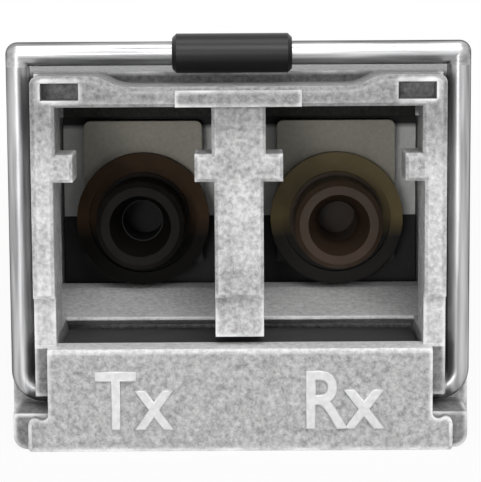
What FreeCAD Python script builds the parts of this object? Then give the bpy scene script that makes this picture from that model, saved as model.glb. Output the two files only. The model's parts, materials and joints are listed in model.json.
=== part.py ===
import FreeCAD, Part
import math
import os

# Duplex LC small form-factor pluggable transceiver with a bail latch, in millimetres.
# X runs across (transmit port at -X), Y is the depth behind the front rims, Z is the height
# above the chin. Every shape is moved back by half the length when it is written.

V = FreeCAD.Vector
SLIP = 0.05               # gap between pieces that slide or drop into each other
FIT = 0.02                # gap of formed sheet round the casting

# Standard outline
LENGTH = 56.5
BODY_W = 13.4
NOSE_LEDGE = 0.15         # nose outside the cage, wider than the body on each side
BODY_H = 8.5
STOP_Y = 9.0              # face that meets the cage
LATCH_BACK = 2.5          # stop face to latch shoulder
OPEN_BACK = 34.6          # latch shoulder to the opening in the underside
BOARD_BACK = 41.8         # latch shoulder to the end of the board
BOTTOM_CHAMFER = 1.1
SKIRT_T = 0.7
BOARD_T = 1.0
BOARD_UP = 2.25           # underside of the body to the board
SHOULDER_UP = 2.0         # rear walls above the board
EDGE_W = 9.2              # width of the board's contact edge
FERRULE_R = 0.63

# Heights of the front, from the chin's underside
BODY_Z = 1.5
CHIN_Z = 3.0
FLOOR_Z = 3.25
STEP_Z = 4.45
PORT_H = 4.6
TAB_H = 0.8
LATCH_SLOT_H = 1.37
ROOF_T = 0.58
SHOULDER_H = 0.32
AXIS_UP = 2.67            # optical axis above the port floor
SILL_H = 0.5              # rise of the port floor to its back
EAR_H = 1.75
FLANGE_H = 0.8
FLANGE_S = 0.3            # height of the curve above the flange
RIM_UP = 0.1

# Widths of the front
EAR_PROUD = 0.1
EAR_STEP = 0.2            # ear's front foot in from its side
LEG_INSET = 0.025
LEG_GAP = 0.105           # bail leg to the frame's side
PORT_WALL = 0.64
RIB_W = 1.42              # rib between the ports
OPTIC_SHIFT = 0.08        # optical axis outward of the port's middle
SLOT_STEP = 0.07
TAB_REACH = 0.57
CHIN_STEP = 0.42
FLANGE_OUT = 0.58
RIM_W = 0.12
BEARING_T = 0.6           # chin wall that carries the wire's end
HEAD_W = 3.65             # raised plate over the rib
POCKET_W = 1.1
POCKET_EDGE = 0.32
POCKET_D = 0.9
SHOULDER_RUN = 1.2
SHOULDER_W = 1.67

# Depths of the front
RIM = 0.14                # rims at the flange's sides, in front of the chin's face
EAR_FRONT_Y = 0.5
FRAME_Y = 0.45
STEP_BACK = 0.4
TAB_BACK_Y = 2.1
CHIN_LIP_Y = 1.34
CHIN_WALL_Y = 0.8
FLOOR_Y = 4.4
FLOOR_UNDER = 0.5         # floor's front edge, cut back below
TROUGH_BACK_Y = 5.4
BACK_WALL = 0.4
SILL_Y = 7.0
RIB_END_Y = 8.1
HEAD_PROUD = 0.1
EDGE_BREAK = 0.1          # bevel round the openings
OUTLINE_BREAK = 0.15      # bevel round the frame
CHIN_BREAK = 0.12
RIM_ROUND = 0.05
FRAME_ROUND = 0.25
EAR_ROUND = 0.4
FLANGE_ROUND = 0.1
NOSE_ROUND = 0.25

# Bail and actuator
WIRE_R = 0.35
PIVOT_Y = 1.9
PIVOT_Z = 1.5
BAR_GAP = 0.23            # bar above the shoulders
EAR_GAP = 0.3
FOOT_GAP = 0.1            # ear's foot below the wire
LEG_ROOM = 0.55
BEND_R = 0.6
CRANK_R = 0.6
CRANK_PIN_R = 0.3
CRANK_GAP = 0.15
CRANK_W = 0.65
CRANK_PIN_L = 0.9
SLEEVE_R = 0.58
SLEEVE_L = 3.5
SLEEVE_X = -0.18          # the grip sits a little off centre
SLEEVE_BEVEL = 0.12
SWING = 90.0
DECK_T = 0.66
DECK_GAP = 0.35           # deck above the wire
FLOOR_GAP = 0.07
LATCH_W = 2.6
LATCH_L = 2.6
LATCH_H = 0.45
LATCH_FLAT = 0.4
CHANNEL_W = 6.3
CHANNEL_H = 0.8
CHANNEL_LIP = 0.55
CHANNEL_LIP_T = 0.25
TINE_GAP = 0.15
TINE_L = 2.3
TIP_GAP = 0.1

# Body and sheet parts
FLOOR_T = 1.0
BRIDGE_L = 4.8            # closed box behind the stop face, under the collar
BRIDGE_WALL = 0.4
BRIDGE_STEP = 1.7
COVER_T = 0.4
COVER_BEND = 0.45
FLAP_T = 0.25
FLAP_H = 4.1
COVER_SHORT = 4.8         # end of the cover before the end of the board
COLLAR_T = 0.15
COLLAR_UP = 0.8           # collar above the bottom chamfer
COLLAR_EDGE = 0.4
FINGER_RISE = 0.25
FINGER_GAP = 0.45
TOP_FINGERS = 5
SIDE_FINGERS = 3
SNAP_L = 2.0
SNAP_H = 1.0
SNAP_IN = 5.2
WINDOW_GAP = 0.12
LEDGE_W = 0.8
NOTCH_L = 1.4
NOTCH_D = 0.7

# Optical sub-assemblies
BARREL_R = 1.39
BARREL_L = 2.4            # barrel in front of the holder's pads
FLANGE_GAP = 0.12         # flange to the port's side
FLANGE_T = 0.5
GROOVE_W = 0.4
GROOVE_D = 0.25
TIP_BEVEL = 0.15
MOUTH_R = 0.97            # funnel that leads the plug's ferrule in
MOUTH_L = 1.2
SHANK_R = 1.5
PLATE_T = 0.8
PAD_T = 1.0
PAD_EDGE = 0.35
PAD_DOWN = 1.45
PAD_DROP = 0.08
PAD_ROUND = 0.2
HOLDER_EDGE = 0.45
SPLIT_R = 0.85
SPLIT_IN = 1.6
SPLIT_L = 1.9
SPLIT_SLIT = 0.12
KEEP_R = 0.66             # end of the funnel, which keeps the sleeve in
STUB_L = 1.1
RX_BORE_L = 3.2
LENS_R = 0.9
LENS_CURVE = 2.0
LENS_WALL = 0.6
WELL_R = 1.1
CUP_L = 3.6
CUP_FLOOR = 0.85
CUP_WALL = 0.4
CAN_GAP = 0.525           # header to the middle plane
CAN_WALL_GAP = 0.155      # header to the casting's side
HEADER_T = 1.1
HEADER_KEY = 0.8
HEADER_FLOOR_GAP = 0.1
PIN_R = 0.2
PIN_CIRCLE = 1.0
PIN_COUNT = 3
PIN_L = 0.5

# Board and what is on it
FLEX_EDGE = 0.6
FLEX_T = 0.14
FLEX_REACH = 8.0
FLEX_TOP = 1.95
FLEX_LOW = 1.6
BOARD_LAP = 3.8           # flex on the board
BOARD_GAP = 0.2
PAD_PITCH = 0.8
PAD_COUNT = 10
CONTACT_W = 0.5
CONTACT_L = 3.2
CONTACT_T = 0.04
EARLY_EDGE = 0.35
LATE_EDGE = 0.75
CHIP_EDGE = 0.8
CHIP_T = 0.9
DRIVER_W = 4.0
AMPLIFIER_W = 3.2
CONTROLLER_W = 5.0
CHIP_ROW = 7.5            # front of the board to the first chips
CONTROLLER_ROW = 16.7
SMALL_W = 0.5
SMALL_L = 1.0
SMALL_T = 0.45
SMALL_PITCH = 1.2

# Derived places
BODY_X = BODY_W / 2
BODY_TOP = BODY_Z + BODY_H
INNER_X = BODY_X - SKIRT_T
LATCH_Y = STOP_Y + LATCH_BACK
OPEN_Y = LATCH_Y + OPEN_BACK
BOARD_END_Y = LATCH_Y + BOARD_BACK
BOARD_Z = BODY_Z + BOARD_UP
BOARD_TOP = BOARD_Z + BOARD_T
SKIRT_Z = BOARD_TOP + SHOULDER_UP
INSIDE_Z = BODY_Z + FLOOR_T

NOSE_W = BODY_W + 2 * NOSE_LEDGE
NOSE_X = NOSE_W / 2 - EAR_PROUD
LEG_X = NOSE_W / 2 - LEG_INSET - WIRE_R
FRAME_X = LEG_X - WIRE_R - LEG_GAP
CHIN_X = FRAME_X - CHIN_STEP
FLANGE_X = CHIN_X + FLANGE_OUT
TROUGH_X = CHIN_X - BEARING_T
PORT_W = FRAME_X - PORT_WALL - RIB_W / 2
PORT_X = (RIB_W + PORT_W) / 2
PORT_OUT_X = PORT_X + PORT_W / 2
OPTIC_X = PORT_X + OPTIC_SHIFT
OPTIC_ROOM = PORT_OUT_X - OPTIC_X
SLOT_W = PORT_W - 2 * SLOT_STEP
NECK_W = PORT_W - 2 * TAB_REACH
HOLDER_X = PORT_OUT_X + HOLDER_EDGE
FLANGE_R = OPTIC_ROOM - FLANGE_GAP
GROOVE_R = FLANGE_R - GROOVE_W
PAD_W = 2 * (OPTIC_ROOM - PAD_EDGE)
CUP_R = OPTIC_ROOM
CAP_R = CUP_R - CUP_WALL
FLEX_W = 2 * (OPTIC_ROOM - FLEX_EDGE)

TAB_Z = FLOOR_Z + PORT_H
SLOT_Z = TAB_Z + TAB_H
CEILING_Z = SLOT_Z + LATCH_SLOT_H
ROOF_Z = CEILING_Z + ROOF_T
SHOULDER_Z = ROOF_Z + SHOULDER_H
AXIS_Z = FLOOR_Z + AXIS_UP
BAR_Z = SHOULDER_Z + BAR_GAP + WIRE_R

FRAME_BACK_Y = PIVOT_Y + WIRE_R + LEG_ROOM
EAR_Y = PIVOT_Y + WIRE_R + EAR_GAP
CHIN_BACK_Y = TROUGH_BACK_Y + BACK_WALL
BRIDGE_END_Y = STOP_Y + BRIDGE_L
COVER_END_Y = BOARD_END_Y - COVER_SHORT

CRANK_DROP = CRANK_R * math.cos(math.radians(SWING / 2))
TRAVEL = 2 * CRANK_DROP
PIN_Y = PIVOT_Y - CRANK_DROP
PIN_Z = PIVOT_Z - CRANK_DROP
CRANK_X1 = TROUGH_X - CRANK_GAP
CRANK_X0 = CRANK_X1 - CRANK_W
CRANK_PIN_X = CRANK_X0 - CRANK_PIN_L
DECK_Z = PIVOT_Z + WIRE_R + DECK_GAP
DECK_TOP = DECK_Z + DECK_T
CHANNEL_TOP = BODY_Z + CHANNEL_H
CHANNEL_END_Y = LATCH_Y - TIP_GAP + TRAVEL + 2 * TIP_GAP

FLAP_X = BODY_X - FLAP_T - FIT
FLAP_Z = BODY_TOP - FLAP_H
COLLAR_X = BODY_X - COLLAR_T - FINGER_RISE
COLLAR_TOP = BODY_TOP - COLLAR_T - FINGER_RISE
COLLAR_Z = BODY_Z + BOTTOM_CHAMFER + COLLAR_UP
BRIDGE_X = COLLAR_X - FIT - BRIDGE_WALL
BRIDGE_TOP = COLLAR_TOP - FIT - BRIDGE_WALL
HEADER_R = min(OPTIC_X - CAN_GAP, BRIDGE_X - OPTIC_X - CAN_WALL_GAP)
BRIDGE_FLOOR_Z = AXIS_Z - HEADER_R - HEADER_FLOOR_GAP

HOLDER_Y = RIB_END_Y + PAD_T - 2 * SLIP
PAD_Y = HOLDER_Y - PAD_T
HOLDER_BACK_Y = HOLDER_Y + PLATE_T
BARREL_TIP_Y = PAD_Y - BARREL_L
SPLIT_Y = BARREL_TIP_Y + SPLIT_IN
CUP_END_Y = HOLDER_BACK_Y + SLIP + CUP_L
PIN_BACK_Y = CUP_END_Y + SLIP + HEADER_T
FLEX_Y = PIN_BACK_Y + PIN_L + FLEX_T / 2
BOARD_Y = FLEX_Y + FLEX_REACH - BOARD_LAP
BOARD_X = INNER_X - BOARD_GAP
NARROW_Y = OPEN_Y - 2 * BOARD_GAP
CHIP_Y = BOARD_Y + CHIP_ROW
DRIVER_X = CHIP_EDGE + DRIVER_W / 2 - BOARD_X
NOTCH_Y = CHIP_Y + DRIVER_W - NOTCH_L


def box(x0, x1, y0, y1, z0, z1):
    return Part.makeBox(x1 - x0, y1 - y0, z1 - z0, V(x0, y0, z0))


def rod_y(r, y0, y1, x):
    """Cylinder along the depth, on the optical axis' height."""
    return Part.makeCylinder(r, y1 - y0, V(x, y0, AXIS_Z), V(0, 1, 0))


def rod_x(r, x0, x1, y, z):
    return Part.makeCylinder(r, x1 - x0, V(x0, y, z), V(1, 0, 0))


def mirrored(shape):
    return shape.mirror(V(0, 0, 0), V(1, 0, 0))


def pair(shape):
    return [shape, mirrored(shape)]


def prism_y(points, y0, y1):
    """Closed outline of (x, z) points pushed back from y0 to y1."""
    ring = [V(x, y0, z) for x, z in points]
    return Part.Face(Part.makePolygon(ring + ring[:1])).extrude(V(0, y1 - y0, 0))


def prism_x(points, x0, x1):
    """Closed outline of (y, z) points pushed across from x0 to x1."""
    ring = [V(x0, y, z) for y, z in points]
    return Part.Face(Part.makePolygon(ring + ring[:1])).extrude(V(x1 - x0, 0, 0))


def outline_y(half, y0, y1):
    """Half outline of edges at y0, mirrored and pushed back to y1."""
    ring = Part.Wire(Part.__sortEdges__(half + [mirrored(e) for e in half]))
    return Part.Face(ring).extrude(V(0, y1 - y0, 0))


def round_edges(shape, radius, wanted):
    """Fillet the edges whose middle passes the test."""
    return shape.makeFillet(radius, [e for e in shape.Edges if wanted(e.CenterOfMass)])


def s_curve(u0, v0, u1, v1, place):
    """Two tangent arcs that start and end along u; place turns (u, v) into a point."""
    run = (u1 - u0) / 2
    rise = (v1 - v0) / 2
    radius = (run ** 2 + rise ** 2) / (2 * rise)
    half = math.asin(run / radius) / 2
    du = radius * math.sin(half)
    dv = radius * (1 - math.cos(half))
    middle = place(u0 + run, v0 + rise)
    first = Part.Arc(place(u0, v0), place(u0 + du, v0 + dv), middle).toShape()
    second = Part.Arc(middle, place(u1 - du, v1 - dv), place(u1, v1)).toShape()
    return [first, second]


def port_spaces(back):
    """Hollows of the LC ports: plug opening, latch neck, latch slot and the room behind the tabs."""
    spaces = []
    for x in (-PORT_X, PORT_X):
        half = PORT_W / 2
        spaces += [
            box(x - half, x + half, 0, back, FLOOR_Z, TAB_Z),
            box(x - NECK_W / 2, x + NECK_W / 2, 0, back, TAB_Z - SLIP, SLOT_Z + SLIP),
            box(x - SLOT_W / 2, x + SLOT_W / 2, 0, back, SLOT_Z, CEILING_Z),
            box(x - half, x + half, TAB_BACK_Y, max(back, TAB_BACK_Y + SLIP), FLOOR_Z, CEILING_Z),
        ]
    return spaces


def front_edges(frame):
    """Edges that lie in the frame's front face."""
    plane = FRAME_Y - 0.001
    return [e for e in frame.Edges if e.BoundBox.YMin > plane and e.BoundBox.YMax < FRAME_Y + 0.001]


def on_outline(c):
    """Whether a point of the front face is on the frame's outside rather than round an opening."""
    return c.z > CEILING_Z + HEAD_PROUD or abs(c.x) > FRAME_X - OUTLINE_BREAK - 0.01


def front_frame():
    """Upright frame of the two ports: raised shoulders joined by S curves, bevelled openings."""
    y = FRAME_Y
    inner = FRAME_X - SHOULDER_W - SHOULDER_RUN
    outer = FRAME_X - SHOULDER_W
    half = s_curve(inner, ROOF_Z, outer, SHOULDER_Z, lambda u, v: V(u, y, v))
    half.append(Part.makeLine(V(outer, y, SHOULDER_Z), V(FRAME_X, y, SHOULDER_Z)))
    half.append(Part.makeLine(V(FRAME_X, y, SHOULDER_Z), V(FRAME_X, y, BODY_Z)))
    half.append(Part.makeLine(V(0, y, ROOF_Z), V(inner, y, ROOF_Z)))
    half.append(Part.makeLine(V(0, y, BODY_Z), V(FRAME_X, y, BODY_Z)))
    frame = outline_y(half, y, FRAME_BACK_Y).removeSplitter()
    frame = round_edges(frame, FRAME_ROUND, lambda c: c.z > SHOULDER_Z - 0.01 and abs(c.x) > FRAME_X - 0.01)
    set_back = box(-NOSE_X, NOSE_X, 0, y + STEP_BACK, 0, STEP_Z)
    frame = frame.cut(port_spaces(FRAME_BACK_Y + 1) + [set_back])
    frame = frame.makeChamfer(OUTLINE_BREAK, [e for e in front_edges(frame) if on_outline(e.CenterOfMass)])
    frame = frame.makeChamfer(EDGE_BREAK, [e for e in front_edges(frame) if not on_outline(e.CenterOfMass)])
    head = box(-HEAD_W / 2, HEAD_W / 2, y - HEAD_PROUD, y + HEAD_PROUD, CEILING_Z, ROOF_Z - HEAD_PROUD)
    x1 = FRAME_X - POCKET_EDGE
    low = CEILING_Z + 2 * EDGE_BREAK
    pocket = box(x1 - POCKET_W, x1, 0, y + POCKET_D, low, SHOULDER_Z - OUTLINE_BREAK - SLIP)
    return frame.fuse(head).cut(pair(pocket))


def ear(y0, y1, side, high):
    """Block beside the chin with a rounded lower corner."""
    block = box(TROUGH_X, side, y0, y1, 0, high)
    return round_edges(block, EAR_ROUND, lambda c: c.x > side - 0.01 and c.z < 0.01)


def chin():
    """Block under the ports: marked face, rimmed flange, ears and the wire's bearing walls."""
    y = RIM
    curve_z = FLANGE_H + FLANGE_S
    half = s_curve(FLANGE_H, FLANGE_X, curve_z, CHIN_X, lambda u, v: V(v, y, u))
    half.append(Part.makeLine(V(0, y, 0), V(FLANGE_X, y, 0)))
    half.append(Part.makeLine(V(FLANGE_X, y, 0), V(FLANGE_X, y, FLANGE_H)))
    half.append(Part.makeLine(V(CHIN_X, y, curve_z), V(CHIN_X, y, CHIN_Z)))
    half.append(Part.makeLine(V(CHIN_X, y, CHIN_Z), V(0, y, CHIN_Z)))
    face = outline_y(half, y, CHIN_LIP_Y).removeSplitter()
    top = [e for e in face.Edges if e.BoundBox.ZMin > CHIN_Z - 0.01 and e.BoundBox.YMax < y + 0.01]
    face = face.makeChamfer(CHIN_BREAK, top)
    face = round_edges(face, FLANGE_ROUND, lambda c: c.z < 0.01 and abs(c.x) > FLANGE_X - 0.01)
    rim = box(FLANGE_X - RIM_W, FLANGE_X, 0, 2 * RIM, RIM_UP, FLANGE_H)
    rim = round_edges(rim, RIM_ROUND, lambda c: c.y < 0.01)
    walls = box(-CHIN_X, CHIN_X, CHIN_WALL_Y, CHIN_BACK_Y, 0, FLOOR_Z)
    above = box(-CHIN_X, CHIN_X, 0, FRAME_Y + STEP_BACK, CHIN_Z, STEP_Z)
    ears = pair(ear(EAR_Y, CHIN_BACK_Y, NOSE_W / 2, EAR_H))
    ears += pair(ear(EAR_FRONT_Y, EAR_Y + SLIP, NOSE_W / 2 - EAR_STEP, PIVOT_Z - WIRE_R - FOOT_GAP))
    return face.multiFuse([walls] + pair(rim) + ears).cut(above)


def nose_block():
    """Full-width box behind the frame, up to the face that meets the cage, with finger room below the bar."""
    block = box(-NOSE_X, NOSE_X, PIVOT_Y, STOP_Y, BODY_Z, SHOULDER_Z)
    block = round_edges(block, NOSE_ROUND, lambda c: c.z > SHOULDER_Z - 0.01 and abs(c.x) > NOSE_X - 0.01)
    notch = box(FRAME_X, NOSE_X + 1, 0, FRAME_BACK_Y, 0, SHOULDER_Z + 1)
    between = FRAME_X - SHOULDER_W
    dip = box(-between, between, 0, FRAME_BACK_Y, ROOF_Z, SHOULDER_Z + 1)
    return block.cut(pair(notch) + [dip])


def actuator_spaces():
    """Trough behind the chin, channel that leads the slide to the latch boss, and the wire's bearings."""
    half = CHANNEL_W / 2
    trough = box(-TROUGH_X, TROUGH_X, CHIN_WALL_Y, TROUGH_BACK_Y, -1, DECK_Z + SLIP)
    wide = PORT_OUT_X
    low = DECK_Z - SLIP
    under = box(-wide, wide, CHIN_LIP_Y, TROUGH_BACK_Y, low, DECK_TOP + FLOOR_GAP)
    edge = [
        (FLOOR_Y + FLOOR_UNDER, low),
        (FLOOR_Y + FLOOR_UNDER, DECK_TOP + FLOOR_GAP),
        (FLOOR_Y, FLOOR_Z - EDGE_BREAK),
        (FLOOR_Y, FLOOR_Z),
        (0, FLOOR_Z),
        (0, CHIN_Z),
        (CHIN_LIP_Y, CHIN_Z),
        (CHIN_LIP_Y, low),
    ]
    mouth = prism_x(edge, -wide, wide)
    channel = box(-half, half, TROUGH_BACK_Y - SLIP, CHANNEL_END_Y, -1, CHANNEL_TOP)
    lip = box(half - CHANNEL_LIP, half, CHIN_BACK_Y, STOP_Y, BODY_Z, BODY_Z + CHANNEL_LIP_T)
    island = box(-LATCH_W / 2, LATCH_W / 2, LATCH_Y, CHANNEL_END_Y + 1, 0, CHANNEL_TOP + 1)
    bearing = rod_x(WIRE_R + SLIP, -NOSE_W, NOSE_W, PIVOT_Y, PIVOT_Z)
    relief = rod_x(WIRE_R + LEG_GAP, CHIN_X, NOSE_W, PIVOT_Y, PIVOT_Z)
    return [trough, under, mouth, channel.cut(pair(lip) + [island]), bearing] + pair(relief)


def latch_boss():
    """Wedge that the cage's latch tab snaps over, shoulder to the front."""
    end = LATCH_Y + LATCH_L
    root = BODY_Z + FLOOR_T / 2
    tip = BODY_Z - LATCH_H
    profile = [(LATCH_Y, root), (LATCH_Y, tip), (LATCH_Y + LATCH_FLAT, tip), (end, BODY_Z), (end, root)]
    return prism_x(profile, -LATCH_W / 2, LATCH_W / 2)


def body_section(y0, y1, step_z, upper_x, top):
    """Length of the body: chamfered bottom, side wall, and thinner wall above the step."""
    half = [
        (BODY_X - BOTTOM_CHAMFER, BODY_Z),
        (BODY_X, BODY_Z + BOTTOM_CHAMFER),
        (BODY_X, step_z),
        (upper_x, step_z),
        (upper_x, top),
    ]
    return prism_y(half + [(-x, z) for x, z in reversed(half)], y0, y1)


def body():
    """Closed bridge under the collar, open trough for the board, and the rear skirts."""
    far = LENGTH + 1
    bridge = body_section(STOP_Y - SLIP, BRIDGE_END_Y, COLLAR_Z - FIT, COLLAR_X - FIT, COLLAR_TOP - FIT)
    wall_top = BODY_TOP - COVER_T - SLIP
    trough = body_section(BRIDGE_END_Y, LENGTH, FLAP_Z - SLIP, FLAP_X, wall_top)
    step_y = BRIDGE_END_Y + BRIDGE_STEP
    hollow = [
        box(-INNER_X, INNER_X, step_y, far, INSIDE_Z, BODY_TOP),
        box(-INNER_X, INNER_X, BRIDGE_END_Y, step_y + SLIP, BRIDGE_FLOOR_Z, BODY_TOP),
        box(-BODY_W, BODY_W, COVER_END_Y, far, SKIRT_Z, BODY_TOP + 1),
        box(-INNER_X, INNER_X, OPEN_Y, far, 0, INSIDE_Z + 1),
        box(-BODY_W, BODY_W, OPEN_Y, far, 0, BODY_Z + BOTTOM_CHAMFER),
    ]
    return bridge.fuse(trough).cut(hollow)


def board_rests():
    """Ledges under the board and the ribs that enter its side notches."""
    low = INSIDE_Z - SLIP
    out = INNER_X + SLIP
    rests = [
        box(INNER_X - LEDGE_W, out, BOARD_Y + BOARD_LAP, NOTCH_Y - NOTCH_L, low, BOARD_Z),
        box(INNER_X - LEDGE_W, out, NOTCH_Y + 2 * NOTCH_L, OPEN_Y - NOTCH_L, low, BOARD_Z),
        box(INNER_X - NOTCH_D, out, NOTCH_Y, NOTCH_Y + NOTCH_L, low, BOARD_TOP),
    ]
    return rests + [mirrored(r) for r in rests]


def snaps(depth, grow):
    """Wedge blocks on the side walls that catch the cover's flaps; grown, they are its windows."""
    blocks = []
    z = (FLAP_Z + BODY_TOP) / 2 - SNAP_H / 2
    for y in (BRIDGE_END_Y + SNAP_IN, COVER_END_Y - SNAP_IN - SNAP_L):
        block = box(FLAP_X - SLIP, FLAP_X + depth, y - grow, y + SNAP_L + grow, z - grow, z + SNAP_H + grow)
        blocks += pair(block)
    return blocks


def housing():
    """Die casting: nose with the ports, chin, bridge, board trough and skirts in one piece."""
    casting = front_frame().multiFuse([chin(), nose_block(), body(), latch_boss()])
    room_y = STOP_Y + PLATE_T
    rooms = [
        box(-HOLDER_X, HOLDER_X, RIB_END_Y, room_y, FLOOR_Z, BRIDGE_TOP),
        box(-BRIDGE_X, BRIDGE_X, room_y - SLIP, BRIDGE_END_Y + SLIP, BRIDGE_FLOOR_Z, BRIDGE_TOP),
    ]
    rooms += pair(box(PORT_X, BRIDGE_X, FRAME_BACK_Y, RIB_END_Y + SLIP, FLOOR_Z, CEILING_Z))
    casting = casting.cut(port_spaces(RIB_END_Y + SLIP) + actuator_spaces() + rooms)
    sill_z = FLOOR_Z + SILL_H
    low = FLOOR_Z - SLIP
    slope = [(FLOOR_Y, low), (FLOOR_Y, FLOOR_Z), (SILL_Y, sill_z), (RIB_END_Y, sill_z), (RIB_END_Y, low)]
    ramp = prism_x(slope, RIB_W / 2 - SLIP, BRIDGE_X + SLIP)
    return casting.multiFuse(board_rests() + snaps(FLAP_T, 0) + pair(ramp)).removeSplitter()


def top_cover():
    """Stamped lid with bent side flaps, snap windows and a rear lip over the board."""
    outer = box(-BODY_X, BODY_X, BRIDGE_END_Y + 2 * SLIP, COVER_END_Y, FLAP_Z, BODY_TOP)
    outer = round_edges(outer, COVER_BEND, lambda c: c.z > BODY_TOP - 0.01 and abs(c.x) > BODY_X - 0.01)
    inside_x = BODY_X - FLAP_T
    inside = box(-inside_x, inside_x, 0, LENGTH, 0, BODY_TOP - COVER_T)
    lip_x = INNER_X - 2 * SLIP
    rear = box(-lip_x, lip_x, COVER_END_Y - COVER_T, COVER_END_Y, SKIRT_Z, BODY_TOP - COVER_T / 2)
    return outer.cut([inside] + snaps(2 * FLAP_T, WINDOW_GAP)).fuse(rear).removeSplitter()


def finger_band(y0, y1, low):
    """Bowed strip outline as (depth, height) arcs, one sheet thick."""
    middle = (y0 + y1) / 2
    high = low + COLLAR_T
    lower = Part.Arc(V(0, y0, low), V(0, middle, low + FINGER_RISE), V(0, y1, low)).toShape()
    upper = Part.Arc(V(0, y0, high), V(0, middle, high + FINGER_RISE), V(0, y1, high)).toShape()
    front = Part.makeLine(V(0, y0, low), V(0, y0, high))
    back = Part.makeLine(V(0, y1, low), V(0, y1, high))
    return Part.Face(Part.Wire(Part.__sortEdges__([lower, back, upper, front])))


def emi_collar():
    """Sheet collar over the bridge with bowed contact fingers on the top and both sides."""
    y0 = STOP_Y + COLLAR_EDGE
    y1 = BRIDGE_END_Y - COLLAR_EDGE / 2
    outer_x = COLLAR_X + COLLAR_T
    outer = box(-outer_x, outer_x, y0, y1, COLLAR_Z, COLLAR_TOP + COLLAR_T)
    inner = box(-COLLAR_X, COLLAR_X, 0, LENGTH, 0, COLLAR_TOP)
    middle = box(-BODY_W, BODY_W, y0 + COLLAR_EDGE, y1 - COLLAR_EDGE, COLLAR_Z + COLLAR_EDGE, BODY_TOP + 1)
    bow = (y0 + COLLAR_EDGE - SLIP, y1 - COLLAR_EDGE + SLIP)
    fingers = []
    pitch = (2 * COLLAR_X - FINGER_GAP) / TOP_FINGERS
    strip = finger_band(bow[0], bow[1], COLLAR_TOP).extrude(V(pitch - FINGER_GAP, 0, 0))
    for i in range(TOP_FINGERS):
        finger = strip.copy()
        finger.translate(V(FINGER_GAP - COLLAR_X + pitch * i, 0, 0))
        fingers.append(finger)
    low = COLLAR_Z + COLLAR_EDGE
    pitch = (COLLAR_TOP - low - FINGER_GAP) / SIDE_FINGERS
    strip = finger_band(bow[0], bow[1], COLLAR_X).extrude(V(FINGER_GAP - pitch, 0, 0))
    strip.rotate(V(0, 0, 0), V(0, 1, 0), 90)
    for i in range(SIDE_FINGERS):
        finger = strip.copy()
        finger.translate(V(0, 0, low + FINGER_GAP + pitch * i))
        fingers += pair(finger)
    return outer.cut([inner, middle]).multiFuse(fingers).removeSplitter()


def bail():
    """Steel wire bent to a bow with tight corners; its in-turned ends pivot and carry a crank."""
    y = PIVOT_Y
    low = PIVOT_Z
    start = CRANK_X1 - SLIP
    turn = BEND_R * (1 - math.sqrt(0.5))
    inset = LEG_X - BEND_R
    path = [
        Part.makeLine(V(start, y, low), V(inset, y, low)),
        Part.Arc(V(inset, y, low), V(LEG_X - turn, y, low + turn), V(LEG_X, y, low + BEND_R)).toShape(),
        Part.makeLine(V(LEG_X, y, low + BEND_R), V(LEG_X, y, BAR_Z)),
    ]
    ring = Part.Wire(Part.makeCircle(WIRE_R, V(start, y, low), V(1, 0, 0)))
    leg = Part.Wire(path).makePipeShell([ring], True, False)
    corner = Part.makeSphere(WIRE_R, V(LEG_X, y, BAR_Z))
    bar = rod_x(WIRE_R, -LEG_X, LEG_X, y, BAR_Z)
    side = V(0, 1, -1).normalize()
    at = V(CRANK_X0, y, low)
    end = V(CRANK_X0, PIN_Y, PIN_Z)
    corners = [at + side * WIRE_R, at - side * WIRE_R, end - side * CRANK_PIN_R, end + side * CRANK_PIN_R]
    crank = [
        Part.Face(Part.makePolygon(corners + corners[:1])).extrude(V(CRANK_W, 0, 0)),
        rod_x(WIRE_R, CRANK_X0, CRANK_X1, y, low),
        rod_x(CRANK_PIN_R, CRANK_PIN_X, CRANK_X1, PIN_Y, PIN_Z),
    ]
    pieces = [leg, corner] + crank
    return bar.multiFuse(pieces + [mirrored(p) for p in pieces]).removeSplitter()


def bail_sleeve():
    """Moulded grip on the bail's bar, with bevelled rims."""
    grip = rod_x(SLEEVE_R, SLEEVE_X - SLEEVE_L / 2, SLEEVE_X + SLEEVE_L / 2, PIVOT_Y, BAR_Z)
    grip = grip.makeChamfer(SLEEVE_BEVEL, [e for e in grip.Edges if e.Closed])
    return grip.cut(rod_x(WIRE_R + FIT, -SLEEVE_L, SLEEVE_L, PIVOT_Y, BAR_Z))


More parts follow.
